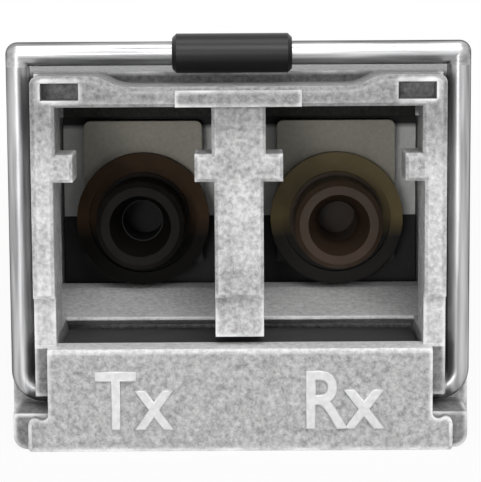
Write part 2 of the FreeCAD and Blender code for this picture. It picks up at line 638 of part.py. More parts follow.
def actuator_slide():
    """Dark slide: head moved by the crank pins, neck in the channel, wedge tines beside the boss."""
    back = TROUGH_BACK_Y - TRAVEL - SLIP
    front = CHIN_WALL_Y + SLIP
    head_x = CRANK_X0 - 2 * SLIP
    deck_x = PORT_OUT_X - 2 * SLIP
    foot = PIVOT_Z - CRANK_R - CRANK_PIN_R - 2 * SLIP
    gap = CRANK_PIN_R + SLIP
    tip = LATCH_Y - TIP_GAP
    neck_x = CHANNEL_W / 2 - 2 * SLIP
    keel_x = CHANNEL_W / 2 - CHANNEL_LIP - 2 * SLIP
    neck_z = BODY_Z + CHANNEL_LIP_T + SLIP
    fork_x = LATCH_W / 2 + TINE_GAP
    deck = box(-deck_x, deck_x, CHIN_LIP_Y + SLIP, back, DECK_Z, DECK_TOP)
    more = [
        box(-head_x, head_x, front, back, foot, DECK_Z),
        box(-neck_x, neck_x, back - gap, tip, neck_z, CHANNEL_TOP - SLIP),
        box(-keel_x, keel_x, back - gap, tip, BODY_Z + SLIP, neck_z),
    ]
    ramp = [(tip - CHANNEL_H, BODY_Z), (tip + 1, BODY_Z), (tip + 1, BODY_Z + 1 + CHANNEL_H)]
    cuts = pair(box(CRANK_PIN_X - SLIP, TROUGH_X, PIN_Y - gap, PIN_Y + gap, 0, PIN_Z + gap))
    cuts += [
        box(CRANK_W - CRANK_PIN_X, CRANK_PIN_X - CRANK_W, PIN_Y + gap, back + 1, 0, BODY_Z + SLIP),
        box(-fork_x, fork_x, tip - TINE_L, tip + 1, 0, CHANNEL_TOP + 1),
        prism_x(ramp, -CHANNEL_W, CHANNEL_W),
    ]
    return deck.multiFuse(more).cut(cuts).removeSplitter()


def osa_holder():
    """Moulded plate behind both ports, with a raised pad round each barrel."""
    top = BRIDGE_TOP - SLIP
    x1 = HOLDER_X - SLIP
    plate = box(-x1, x1, HOLDER_Y, HOLDER_BACK_Y, FLOOR_Z + SLIP, top)
    low = AXIS_Z - PAD_DOWN
    high = top - PAD_DROP
    pad = box(OPTIC_X - PAD_W / 2, OPTIC_X + PAD_W / 2, PAD_Y, HOLDER_Y + SLIP, low, high)
    pad = round_edges(pad, PAD_ROUND, lambda c: c.z > high - 0.01 and abs(c.x - OPTIC_X) > PAD_W / 2 - 0.01)
    bore = rod_y(SHANK_R + SLIP, 0, LENGTH, OPTIC_X)
    return plate.multiFuse(pair(pad)).cut(pair(bore)).removeSplitter()


def barrel_outside(x):
    """Plug barrel, grooved flange ring, shank through the holder and the rear cup for the can."""
    tube = rod_y(BARREL_R, BARREL_TIP_Y, PAD_Y, x)
    rim = [e for e in tube.Edges if e.Closed and e.BoundBox.YMax < BARREL_TIP_Y + 0.1]
    tube = tube.makeChamfer(TIP_BEVEL, rim)
    face = PAD_Y - FIT
    flange = rod_y(FLANGE_R, face - FLANGE_T, face, x)
    groove = rod_y(GROOVE_R, face - FLANGE_T - 1, face - FLANGE_T + GROOVE_D, x)
    shank = rod_y(SHANK_R, PAD_Y - FLANGE_T, HOLDER_BACK_Y + CUP_FLOOR, x)
    cup = rod_y(CUP_R, HOLDER_BACK_Y + SLIP, CUP_END_Y, x)
    seat = rod_y(CAP_R + SLIP, HOLDER_BACK_Y + SLIP + CUP_FLOOR, LENGTH, x)
    return flange.cut(groove).multiFuse([tube, shank, cup]).cut(seat)


def funnel(x, r, length):
    return Part.makeCone(MOUTH_R, r, length, V(x, BARREL_TIP_Y, AXIS_Z), V(0, 1, 0))


def tx_barrel():
    """Dark barrel bored for a split sleeve, which the narrow end of the mouth's funnel keeps in."""
    bore = rod_y(SPLIT_R + SLIP, SPLIT_Y - FIT, LENGTH, -OPTIC_X)
    return barrel_outside(-OPTIC_X).cut([bore, funnel(-OPTIC_X, KEEP_R, SPLIT_IN)]).removeSplitter()


def tx_split_sleeve():
    """Ceramic tube with one slit, which centres the plug's ferrule."""
    tube = rod_y(SPLIT_R, SPLIT_Y, SPLIT_Y + SPLIT_L, -OPTIC_X)
    half = SPLIT_SLIT / 2
    slit = box(-OPTIC_X - half, -OPTIC_X + half, 0, LENGTH, AXIS_Z, AXIS_Z + CUP_R)
    return tube.cut([rod_y(FERRULE_R, 0, LENGTH, -OPTIC_X), slit])


def tx_ferrule_stub():
    """Short ceramic stub behind the sleeve, which carries the light from the laser."""
    y0 = SPLIT_Y + SPLIT_L + FIT
    return rod_y(SPLIT_R, y0, y0 + STUB_L, -OPTIC_X)


def rx_barrel():
    """Amber moulded barrel whose bore ends at its own moulded lens."""
    end = BARREL_TIP_Y + RX_BORE_L
    bore = rod_y(FERRULE_R, 0, end, OPTIC_X)
    well = rod_y(WELL_R, end + LENS_WALL, LENGTH, OPTIC_X)
    shell = barrel_outside(OPTIC_X).cut([bore, well, funnel(OPTIC_X, FERRULE_R, MOUTH_L)])
    flat = end + LENS_WALL
    sink = math.sqrt(LENS_CURVE ** 2 - LENS_R ** 2)
    ball = Part.makeSphere(LENS_CURVE, V(OPTIC_X, flat - sink, AXIS_Z))
    lens = ball.common(rod_y(LENS_R, flat - LENS_WALL / 2, LENGTH, OPTIC_X))
    return shell.fuse(lens).removeSplitter()


def can(x):
    """Welded metal can: window cap in the barrel's cup and a keyed header disc behind it."""
    cap = rod_y(CAP_R, HOLDER_BACK_Y + CUP_FLOOR + 2 * SLIP, CUP_END_Y + 2 * SLIP, x)
    header = rod_y(HEADER_R, CUP_END_Y + SLIP, PIN_BACK_Y, x)
    half = HEADER_KEY / 2
    key = box(x - half, x + half, CUP_END_Y, LENGTH, AXIS_Z + HEADER_R - half, AXIS_Z + 2 * HEADER_R)
    return cap.fuse(header).cut(key)


def leads(x):
    """Pins sealed in the can's header, soldered to the flex."""
    pins = []
    for i in range(PIN_COUNT):
        turn = 2 * math.pi * (i + 0.5) / PIN_COUNT
        pin = rod_y(PIN_R, PIN_BACK_Y, PIN_BACK_Y + PIN_L, x)
        pin.translate(V(PIN_CIRCLE * math.cos(turn), 0, PIN_CIRCLE * math.sin(turn)))
        pins.append(pin)
    return Part.makeCompound(pins)


def ribbon(points):
    """Outline of the flex along (y, z) points, mitred at each turn."""
    left = []
    right = []
    for i, (y, z) in enumerate(points):
        y0, z0 = points[max(i - 1, 0)]
        y1, z1 = points[min(i + 1, len(points) - 1)]
        into = V(0, y - y0, z - z0) if i else V(0, y1 - y, z1 - z)
        away = V(0, y1 - y, z1 - z) if y1 != y or z1 != z else V(into)
        into.normalize()
        away.normalize()
        middle = (into + away).normalize()
        reach = FLEX_T / 2 / middle.dot(into)
        left.append((y - middle.z * reach, z + middle.y * reach))
        right.append((y + middle.z * reach, z - middle.y * reach))
    return left + right[::-1]


def flex(x):
    """Flexible circuit: soldered to the pins, folded over the top and down to the board."""
    board = BOARD_TOP + FLEX_T / 2
    top = AXIS_Z + FLEX_TOP
    fold = 4 * FLEX_T
    lap = FLEX_Y + FLEX_REACH - BOARD_LAP
    path = [
        (FLEX_Y, AXIS_Z - FLEX_LOW),
        (FLEX_Y, top - fold),
        (FLEX_Y + fold * 0.3, top - fold * 0.3),
        (FLEX_Y + fold, top),
        (FLEX_Y + 3 * fold, top - FLEX_T),
        (lap + fold, board + fold),
        (lap + 3 * fold, board),
        (FLEX_Y + FLEX_REACH, board),
    ]
    return prism_x(ribbon(path), x - FLEX_W / 2, x + FLEX_W / 2)


def pcb():
    """Board with side notches on the casting's ribs and a narrow bevelled contact edge."""
    wide = box(-BOARD_X, BOARD_X, BOARD_Y, NARROW_Y, BOARD_Z, BOARD_TOP)
    edge = box(-EDGE_W / 2, EDGE_W / 2, NARROW_Y - SLIP, BOARD_END_Y, BOARD_Z, BOARD_TOP)
    tip = [e for e in edge.Edges if e.BoundBox.YMin > BOARD_END_Y - 0.01 and e.Length > BOARD_T + 0.1]
    edge = edge.makeChamfer(BOARD_T / 4, tip)
    notch = box(INNER_X - NOTCH_D - SLIP, INNER_X, NOTCH_Y - SLIP, NOTCH_Y + NOTCH_L + SLIP, 0, BODY_TOP)
    return wide.fuse(edge).cut(pair(notch)).removeSplitter()


def contacts(z):
    """Gold contact fingers of one board face; the ground fingers reach further to mate first."""
    pads = []
    half = CONTACT_W / 2
    for i in range(PAD_COUNT):
        x = (i - (PAD_COUNT - 1) / 2) * PAD_PITCH
        reach = LATE_EDGE if i % 3 else EARLY_EDGE
        pads.append(box(x - half, x + half, BOARD_END_Y - CONTACT_L, BOARD_END_Y - reach, z, z + CONTACT_T))
    return Part.makeCompound(pads)


def chip(x, y, width):
    """Flat square moulded package."""
    return box(x - width / 2, x + width / 2, y, y + width, BOARD_TOP, BOARD_TOP + CHIP_T)


def passives():
    """Small capacitors and resistors in rows beside the controller."""
    parts = []
    y = BOARD_Y + CONTROLLER_ROW
    x0 = BOARD_X - 2 * CHIP_EDGE - SMALL_L / 2
    for i in range(4):
        row = y + SMALL_PITCH * i
        parts += pair(box(x0, x0 + SMALL_L, row, row + SMALL_W, BOARD_TOP, BOARD_TOP + SMALL_T))
    row = y - 2 * SMALL_PITCH
    for i in range(5):
        x = (i - 2) * SMALL_PITCH - SMALL_W / 2
        parts.append(box(x, x + SMALL_W, row, row + SMALL_L, BOARD_TOP, BOARD_TOP + SMALL_T))
    return Part.makeCompound(parts)


def thermal_pad():
    """Soft pad that carries the driver's heat from the board's underside to the casting."""
    half = DRIVER_W / 2
    return box(DRIVER_X - half, DRIVER_X + half, CHIP_Y, CHIP_Y + DRIVER_W, INSIDE_Z, BOARD_Z)


PARTS = {
    "housing": housing(),
    "top_cover": top_cover(),
    "emi_collar": emi_collar(),
    "bail": bail(),
    "bail_sleeve": bail_sleeve(),
    "actuator_slide": actuator_slide(),
    "osa_holder": osa_holder(),
    "tx_barrel": tx_barrel(),
    "rx_barrel": rx_barrel(),
    "tx_split_sleeve": tx_split_sleeve(),
    "tx_ferrule_stub": tx_ferrule_stub(),
    "tx_can": can(-OPTIC_X),
    "rx_can": can(OPTIC_X),
    "tx_leads": leads(-OPTIC_X),
    "rx_leads": leads(OPTIC_X),
    "tx_flex": flex(-OPTIC_X),
    "rx_flex": flex(OPTIC_X),
    "pcb": pcb(),
    "contacts_top": contacts(BOARD_TOP),
    "contacts_bottom": contacts(BOARD_Z - CONTACT_T),
    "driver_chip": chip(DRIVER_X, CHIP_Y, DRIVER_W),
    "amplifier_chip": chip(BOARD_X - CHIP_EDGE - AMPLIFIER_W / 2, CHIP_Y, AMPLIFIER_W),
    "controller_chip": chip(0, BOARD_Y + CONTROLLER_ROW, CONTROLLER_W),
    "passives": passives(),
    "thermal_pad": thermal_pad(),
}

os.makedirs("parts", exist_ok=True)
for name, shape in PARTS.items():
    shape.translate(V(0, -LENGTH / 2, 0))
    shape.exportStep("parts/" + name + ".step")
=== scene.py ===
import json
import math

import bmesh
import bpy
from mathutils import Matrix, Vector

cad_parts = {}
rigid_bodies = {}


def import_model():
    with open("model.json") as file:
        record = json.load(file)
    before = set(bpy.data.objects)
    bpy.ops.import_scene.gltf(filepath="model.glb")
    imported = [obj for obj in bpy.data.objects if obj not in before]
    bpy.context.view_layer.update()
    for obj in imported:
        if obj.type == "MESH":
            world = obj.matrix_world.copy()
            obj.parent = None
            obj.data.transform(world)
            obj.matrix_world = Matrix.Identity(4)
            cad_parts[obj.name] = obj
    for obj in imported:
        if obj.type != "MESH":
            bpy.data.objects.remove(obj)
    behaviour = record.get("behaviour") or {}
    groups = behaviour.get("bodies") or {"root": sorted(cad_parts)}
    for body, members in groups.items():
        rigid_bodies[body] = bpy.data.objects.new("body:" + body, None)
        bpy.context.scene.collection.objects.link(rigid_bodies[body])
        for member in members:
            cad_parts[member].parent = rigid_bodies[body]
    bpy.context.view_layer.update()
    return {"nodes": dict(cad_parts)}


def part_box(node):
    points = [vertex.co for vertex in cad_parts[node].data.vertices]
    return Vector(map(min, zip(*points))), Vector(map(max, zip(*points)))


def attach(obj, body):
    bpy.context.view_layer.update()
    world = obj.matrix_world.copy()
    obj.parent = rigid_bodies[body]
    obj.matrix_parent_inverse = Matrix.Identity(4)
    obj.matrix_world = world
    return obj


for leftover in list(bpy.data.objects):
    bpy.data.objects.remove(leftover)
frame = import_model()

# Housing: one zinc die casting that holds the two ports, the chin, the board trough and the skirts.
# It leaves the die with a pebbled skin. Its open edges and the nose round the ports are painted paler,
# partly as wear from tumbling, plugs and fingers and partly as painted light and highlight, while the
# recess behind the frame, its crown, the cheeks beside the bail's bearings and the bulkhead over the
# ports are painted darker as shade.
MM = 0.001
front_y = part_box("housing")[0].y


def linear(hex_colour):
    """sRGB hex to the linear colour that a shader socket takes."""
    parts = [int(hex_colour[i:i + 2], 16) / 255 for i in (1, 3, 5)]
    return [c / 12.92 if c <= 0.04045 else ((c + 0.055) / 1.055) ** 2.4 for c in parts] + [1.0]


def add(owner, kind, props=None, inputs=None, links=None):
    """Adds a shader node with its properties, socket values and links from (node, output) pairs."""
    made = owner.node_tree.nodes.new("ShaderNode" + kind)
    for name, value in (props or {}).items():
        setattr(made, name, value)
    for name, value in (inputs or {}).items():
        made.inputs[name].default_value = value
    for name, (source, output) in (links or {}).items():
        owner.node_tree.links.new(source.outputs[output], made.inputs[name])
    return made


def new_material(name):
    """Starts an empty material and gives it with the node of its coordinates."""
    material = bpy.data.materials.new(name)
    material.use_nodes = True
    material.node_tree.nodes.clear()
    return material, add(material, "TexCoord")


def dress(material, *names):
    """Gives solids from the frame their material."""
    for name in names:
        for slot in frame["nodes"][name].material_slots:
            slot.material = material


# Zinc die casting, tumbled: a mid-grey pebbled skin that scatters light, so its highlights are broad
# and dull. The pebbles are drawn coarser than real so that they show. A slower noise stands for the
# patches that the flow of the metal leaves.
CAST_PEBBLE = 0.16 * MM
PEBBLE_DEPTH = 0.06 * MM
PEBBLE_SPREAD = (0.3, 0.7)
CAST_FLOW = 1.1 * MM
FLOW_SPREAD = (0.35, 0.65)
FLOW_SWING = 0.25
zinc, coords = new_material("zinc_die_cast_tumbled")
pebble = add(zinc, "TexNoise", inputs={"Scale": 1 / CAST_PEBBLE, "Detail": 4.0, "Roughness": 0.7},
             links={"Vector": (coords, "Object")})
flow = add(zinc, "TexNoise", inputs={"Scale": 1 / CAST_FLOW, "Detail": 2.0},
           links={"Vector": (coords, "Object")})
grain = add(zinc, "MapRange", inputs={"From Min": PEBBLE_SPREAD[0], "From Max": PEBBLE_SPREAD[1]},
            links={"Value": (pebble, "Fac")})
patches = add(zinc, "MapRange",
              inputs={"From Min": FLOW_SPREAD[0], "From Max": FLOW_SPREAD[1],
                      "To Min": -FLOW_SWING, "To Max": FLOW_SWING},
              links={"Value": (flow, "Fac")})
mottle = add(zinc, "Math", {"operation": "ADD", "use_clamp": True},
             links={0: (grain, "Result"), 1: (patches, "Result")})

# Five tones of the one skin, each a dark and a pale tone that the pebbles mix: the skin as cast, two
# paler ones that stand partly for rubbing and partly for painted light, and two darker ones that are
# painted shade, the last nearly black. The bright one shows the patches as well.
skin_tones = {}
for tone_name, dark, pale, pattern in (("as_cast", "#8a8a8a", "#d0d0d0", (grain, "Result")),
                                    ("bright", "#939393", "#e8e8e8", (mottle, "Value")),
                                    ("polished_and_lit", "#cfcfcf", "#ffffff", (grain, "Result")),
                                    ("shaded", "#545454", "#8a8a8a", (grain, "Result")),
                                    ("painted_deep_shade", "#262624", "#3e3e3b", (grain, "Result"))):
    skin_tones[tone_name] = add(zinc, "Mix", {"data_type": "RGBA"}, {"A": linear(dark), "B": linear(pale)},
                           {"Factor": pattern})

# Zones of the nose are boxes in millimetres: out from the middle plane, in from the front, and up.
# ANY is farther than the casting goes.
ANY = 100
COLUMNS = ((5.35, ANY), (-ANY, ANY), (-ANY, ANY))
BULKHEAD = ((-ANY, 5.7), (7.85, 8.45), (8.5, 10.2))
RECESS_WALL = ((-ANY, ANY), (2.73, 2.87), (9.9, ANY))
BEARING_CHEEKS = ((5.57, ANY), (0.25, 2.25), (-ANY, 2.93))
at = add(zinc, "SeparateXYZ", links={"Vector": (coords, "Object")})
out = add(zinc, "Math", {"operation": "ABSOLUTE"}, links={0: (at, "X")})
depth = add(zinc, "Math", {"operation": "SUBTRACT"}, {1: front_y}, {0: (at, "Y")})


def nose_zone(spans, share=1.0):
    """Mask with this share inside a zone of the nose and 0 outside it."""
    # The first product holds the share, and each later one takes in the product before it.
    factors = {}
    for place_in, (start, end) in zip(((out, "Value"), (depth, "Value"), (at, "Z")), spans):
        within = add(zinc, "Math", {"operation": "COMPARE"},
                     {1: (start + end) / 2 * MM, 2: (end - start) / 2 * MM}, {0: place_in})
        factors[1] = (within, "Value")
        factors[0] = (add(zinc, "Math", {"operation": "MULTIPLY"}, {0: share}, factors), "Value")
    return factors[0][0]


# Round the ports the frame is painted paler, partly as rubbing by plugs and fingers and partly as the
# light that falls there, fading towards its top. The lip of the chin and the port floor behind it are
# painted palest, as the light on these faces as well as polish, and the columns at the sides too.
NOSE_LENGTH = 8.6 * MM
LIP_DEPTH = 1.4 * MM
LIP_Z = (2.91 * MM, 3.03 * MM)
FLOOR_Z = (3.2 * MM, 3.95 * MM)
RUB_AND_LIGHT_BLEND = 0.07 * MM
RUB_AND_LIGHT_TOP = (7.9 * MM, 9.2 * MM)
PORT_SHINE = 0.75
COLUMN_SHINE = 0.5
front = add(zinc, "Math", {"operation": "LESS_THAN"}, {1: NOSE_LENGTH}, {0: (depth, "Value")})
foot, brow = (add(zinc, "MapRange",
                  inputs={"From Min": LIP_DEPTH, "From Max": LIP_DEPTH + RUB_AND_LIGHT_BLEND,
                          "To Min": lip_z, "To Max": floor_z},
                  links={"Value": (depth, "Value")})
              for lip_z, floor_z in zip(LIP_Z, FLOOR_Z))
above = add(zinc, "Math", {"operation": "SUBTRACT"}, links={0: (at, "Z"), 1: (foot, "Result")})
low = add(zinc, "MapRange", {"interpolation_type": "SMOOTHSTEP"},
          {"From Min": -RUB_AND_LIGHT_BLEND, "From Max": RUB_AND_LIGHT_BLEND}, {"Value": (above, "Value")})
low = add(zinc, "Math", {"operation": "MULTIPLY"}, links={0: (low, "Result"), 1: (front, "Value")})
high = add(zinc, "MapRange", {"interpolation_type": "SMOOTHSTEP"},
           {"From Min": RUB_AND_LIGHT_TOP[1], "From Max": RUB_AND_LIGHT_TOP[0], "To Max": PORT_SHINE},
           {"Value": (at, "Z")})
ports = add(zinc, "Math", {"operation": "MULTIPLY"}, links={0: (low, "Value"), 1: (high, "Result")})
under = add(zinc, "Math", {"operation": "LESS_THAN"}, links={0: (at, "Z"), 1: (brow, "Result")})
landing = add(zinc, "Math", {"operation": "MULTIPLY"}, links={0: (low, "Value"), 1: (under, "Value")})
columns = add(zinc, "Math", {"operation": "MULTIPLY"},
              links={0: (nose_zone(COLUMNS, COLUMN_SHINE), "Value"), 1: (ports, "Value")})
polish_and_light = add(zinc, "Math", {"operation": "MAXIMUM"},
             links={0: (landing, "Value"), 1: (columns, "Value")})

# Painted shade: the crown of the frame, the recess wall behind it and the cheeks beside the bail's
# bearings are painted darker where shade falls, and the bulkhead over the ports is painted nearly
# black as the deep shade there.
CROWN_Z = (9.0 * MM, 9.6 * MM)
CROWN_SHADE = 0.45
BEARING_SHADE = 0.75
crown = add(zinc, "MapRange",
            inputs={"From Min": CROWN_Z[0], "From Max": CROWN_Z[1], "To Max": CROWN_SHADE},
            links={"Value": (at, "Z")})
painted_shade_mask = add(zinc, "Math", {"operation": "MULTIPLY"}, links={0: (crown, "Result"), 1: (front, "Value")})
for zone in (nose_zone(RECESS_WALL), nose_zone(BEARING_CHEEKS, BEARING_SHADE)):
    painted_shade_mask = add(zinc, "Math", {"operation": "MAXIMUM"}, links={0: (painted_shade_mask, "Value"), 1: (zone, "Value")})
bulkhead = nose_zone(BULKHEAD)
skin = skin_tones["as_cast"]
for zone, tone_name in ((ports, "bright"), (polish_and_light, "polished_and_lit"), (painted_shade_mask, "shaded"), (bulkhead, "painted_deep_shade")):
    skin = add(zinc, "Mix", {"data_type": "RGBA"},
               links={"Factor": (zone, "Value"), "A": (skin, "Result"),
                      "B": (skin_tones[tone_name], "Result")})

# Open edges are painted pale, as wear and as the painted highlight their rounds catch, and a little
# round, here more and there less, but not in the bulkhead's painted shade.
EDGE_WEAR_AND_GLEAM = 0.16 * MM
EDGE_OPEN = (0.95, 0.6)
EDGE_PATCHES = (0.4, 0.62)
EDGE_LEAST = 0.4
EDGE_ROUND = 0.05 * MM
within = add(zinc, "AmbientOcclusion", {"inside": True, "only_local": True, "samples": 10},
             {"Distance": EDGE_WEAR_AND_GLEAM})
open_edge = add(zinc, "MapRange", inputs={"From Min": EDGE_OPEN[0], "From Max": EDGE_OPEN[1]},
                links={"Value": (within, "AO")})
reach = add(zinc, "MapRange",
            inputs={"From Min": EDGE_PATCHES[0], "From Max": EDGE_PATCHES[1], "To Min": EDGE_LEAST},
            links={"Value": (flow, "Fac")})
worn_and_gleaming = add(zinc, "Math", {"operation": "MULTIPLY"}, links={0: (open_edge, "Result"), 1: (reach, "Result")})
edges_in_shade = add(zinc, "Math", {"operation": "MULTIPLY"}, links={0: (worn_and_gleaming, "Value"), 1: (bulkhead, "Value")})
worn_and_gleaming = add(zinc, "Math", {"operation": "SUBTRACT"}, links={0: (worn_and_gleaming, "Value"), 1: (edges_in_shade, "Value")})
tone = add(zinc, "Mix", {"data_type": "RGBA"}, {"B": linear("#fafafa")},
           {"Factor": (worn_and_gleaming, "Value"), "A": (skin, "Result")})
dull = add(zinc, "MapRange", inputs={"To Min": 0.46, "To Max": 0.66}, links={"Value": (flow, "Fac")})
eased = add(zinc, "Bevel", {"samples": 6}, {"Radius": EDGE_ROUND})
dents = add(zinc, "Bump", inputs={"Strength": 0.9, "Distance": PEBBLE_DEPTH},
            links={"Height": (pebble, "Fac"), "Normal": (eased, "Normal")})
surface = add(zinc, "BsdfPrincipled", inputs={"Metallic": 0.1, "Specular IOR Level": 0.25},
              links={"Base Color": (tone, "Result"), "Roughness": (dull, "Result"),
                     "Normal": (dents, "Normal")})
add(zinc, "OutputMaterial", links={"Surface": (surface, "BSDF")})
dress(zinc, "housing")

# Port marks: the letters for transmit and receive stand proud of the chin, cast with it in zinc.
# Their sizes are in millimetres, with their middle out from the nose's middle and up from its foot.
MARK_HEIGHT = 1.74
MARK_WIDTH = 2.32
MARK_PROUD = 0.11
MARK_BEVEL = 0.045
MARK_X = 3.07
MARK_Z = 1.515
CHIN_FACE = 0.14
CAPITAL_SHARE = 0.7
WELD = 1e-4

# Zinc die casting, burnished: tumbling reaches the letters' faces first, so they are smoother and
# paler than the skin round them, with a soft metal gleam.
BURNISHED_DEPTH = 0.04 * MM
burnished, coords = new_material("zinc_die_cast_burnished")
pebble = add(burnished, "TexNoise", inputs={"Scale": 1 / CAST_PEBBLE, "Detail": 2.0},
             links={"Vector": (coords, "Object")})
skin = add(burnished, "Mix", {"data_type": "RGBA"}, {"A": linear("#bcbcbc"), "B": linear("#e2e2e2")},
           {"Factor": (pebble, "Fac")})
dents = add(burnished, "Bump", inputs={"Strength": 0.3, "Distance": BURNISHED_DEPTH},
            links={"Height": (pebble, "Fac")})
surface = add(burnished, "BsdfPrincipled",
              inputs={"Metallic": 0.45, "Roughness": 0.5, "Specular IOR Level": 0.3},
              links={"Base Color": (skin, "Result"), "Normal": (dents, "Normal")})
add(burnished, "OutputMaterial", links={"Surface": (surface, "BSDF")})


def place(name, shape, body, material):
    """Turns a finished bmesh into a piece that rides a body."""
    mesh = bpy.data.meshes.new(name)
    shape.to_mesh(mesh)
    shape.free()
    mesh.materials.append(material)
    piece = bpy.data.objects.new(name, mesh)
    bpy.context.scene.collection.objects.link(piece)
    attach(piece, body)


def port_mark(name, letters, x):
    """Letters with bevelled edges, made a mesh in millimetres and then set on the chin."""
    text = bpy.data.curves.new(name, "FONT")
    text.body = letters
    text.size = MARK_HEIGHT / CAPITAL_SHARE
    text.extrude = MARK_PROUD
    text.bevel_depth = MARK_BEVEL
    text.bevel_resolution = 1
    text.resolution_u = 4
    loose = bpy.data.objects.new(name + "_text", text)
    bpy.context.scene.collection.objects.link(loose)
    bpy.context.view_layer.update()
    flat = bpy.data.meshes.new_from_object(loose)
    bpy.data.objects.remove(loose)
    shape = bmesh.new()
    shape.from_mesh(flat)
    bmesh.ops.remove_doubles(shape, verts=shape.verts, dist=WELD)
    bmesh.ops.recalc_face_normals(shape, faces=shape.faces)
    low = Vector([min(v.co[i] for v in shape.verts) for i in range(3)])
    high = Vector([max(v.co[i] for v in shape.verts) for i in range(3)])
    bmesh.ops.translate(shape, verts=shape.verts, vec=-(low + high) / 2)
    wanted = (MARK_WIDTH, MARK_HEIGHT, 2 * MARK_PROUD)
    grow = [size / drawn * MM for size, drawn in zip(wanted, high - low)]
    bmesh.ops.scale(shape, verts=shape.verts, vec=grow)
    bmesh.ops.rotate(shape, verts=shape.verts, matrix=Matrix.Rotation(math.pi / 2, 3, "X"))
    spot = Vector((x * MM, front_y + CHIN_FACE * MM, MARK_Z * MM))
    bmesh.ops.translate(shape, verts=shape.verts, vec=spot)
    place(name, shape, "module", burnished)


port_mark("transmit_mark", "Tx", -MARK_X)
port_mark("receive_mark", "Rx", MARK_X)

# Ejector marks: low round pads on the casting's underside, of its own zinc. The die's ejector pins
# leave them when they push the casting out.
EJECTOR_R = 0.9 * MM
EJECTOR_FACE_R = 0.97 * EJECTOR_R
EJECTOR_T = 0.04 * MM
EJECTOR_X = 4.4 * MM
EJECTOR_ROWS = (-10 * MM, 4 * MM, 15 * MM)
UNDERSIDE_Z = 1.5 * MM

shape = bmesh.new()
for x in (-EJECTOR_X, EJECTOR_X):
    for y in EJECTOR_ROWS:
        spot = Matrix.Translation((x, y, UNDERSIDE_Z))
        bmesh.ops.create_cone(shape, cap_ends=True, segments=40, radius1=EJECTOR_FACE_R,
                              radius2=EJECTOR_R, depth=2 * EJECTOR_T, matrix=spot)
place("ejector_marks", shape, "module", zinc)

# Holder of the optical parts: a plate behind both ports with a raised pad round each barrel, moulded
# in taupe polymer. The barrels' shanks go through it.
PAD_DEPTH = 0.5 * MM
PLATE_SHADE = (0.42 * MM, 0.25 * MM)
SHADE_LINE_Z = 5.85 * MM
pad_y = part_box("osa_holder")[0].y
plate_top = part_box("osa_holder")[1].z

# Taupe polymer, moulded: satin and even in colour, with a faint spark-eroded texture that is drawn
# coarser than real so that it shows. The plate behind the pads is paler, with painted shade along its
# top edge, and all of it is painted nearly black below the optical axis as the shade where the ports
# keep the light out.
SPARK_GRAIN = 0.12 * MM
SPARK_DEPTH = 0.03 * MM
taupe, coords = new_material("taupe_polymer_moulded")
spark = add(taupe, "TexNoise", inputs={"Scale": 1 / SPARK_GRAIN, "Detail": 2.0},
            links={"Vector": (coords, "Object")})
pad, plate, shade_black = (add(taupe, "Mix", {"data_type": "RGBA"}, {"A": linear(dark), "B": linear(pale)},
                         {"Factor": (spark, "Fac")})
                     for dark, pale in (("#a29d91", "#c0bbae"), ("#dededc", "#f4f4f2"),
                                        ("#0c0b0b", "#161514")))
at = add(taupe, "SeparateXYZ", links={"Vector": (coords, "Object")})
top_shade = add(taupe, "MapRange",
          inputs={"From Min": plate_top - PLATE_SHADE[0], "From Max": plate_top - PLATE_SHADE[1]},
          links={"Value": (at, "Z")})
plate = add(taupe, "Mix", {"data_type": "RGBA"},
            links={"Factor": (top_shade, "Result"), "A": (plate, "Result"), "B": (shade_black, "Result")})
behind = add(taupe, "Math", {"operation": "GREATER_THAN"}, {1: pad_y + PAD_DEPTH}, {0: (at, "Y")})
upper = add(taupe, "Mix", {"data_type": "RGBA"},
            links={"Factor": (behind, "Value"), "A": (pad, "Result"), "B": (plate, "Result")})
# Painted shade: below the optical axis the holder is painted nearly black.
above_shade_line = add(taupe, "Math", {"operation": "GREATER_THAN"}, {1: SHADE_LINE_Z}, {0: (at, "Z")})
tone = add(taupe, "Mix", {"data_type": "RGBA"},
           links={"Factor": (above_shade_line, "Value"), "A": (shade_black, "Result"), "B": (upper, "Result")})
pits = add(taupe, "Bump", inputs={"Strength": 0.25, "Distance": SPARK_DEPTH},
           links={"Height": (spark, "Fac")})
surface = add(taupe, "BsdfPrincipled",
              inputs={"Roughness": 0.55, "IOR": 1.58, "Specular IOR Level": 0.25},
              links={"Base Color": (tone, "Result"), "Normal": (pits, "Normal")})
add(taupe, "OutputMaterial", links={"Surface": (surface, "BSDF")})
dress(taupe, "osa_holder")

# Transmit barrel: moulded in dark brown polymer, with a tube in front that takes the plug's ferrule,
# a flange that shows as an arch over it, and a shank through the holder with a cup for the laser can.
TUBE_R = 1.45 * MM
TUBE_BLEND = 0.1 * MM
ARCH_Z = (5.3 * MM, 6.0 * MM)


def barrel_zones(material, coords, box):
    """Painted light on a barrel, 0 in shade below the optical axis to 1 above, and distance from its axis.
    """
    middle = (box[0] + box[1]) / 2
    at = add(material, "SeparateXYZ", links={"Vector": (coords, "Object")})
    lit = add(material, "MapRange", inputs={"From Min": ARCH_Z[0], "From Max": ARCH_Z[1]},
              links={"Value": (at, "Z")})
    centred = add(material, "Mapping",
                  inputs={"Location": (-middle.x, 0, -middle.z), "Scale": (1.0, 0.0, 1.0)},
                  links={"Vector": (coords, "Object")})
    around = add(material, "VectorMath", {"operation": "LENGTH"}, links={0: (centred, "Vector")})
    return lit, around


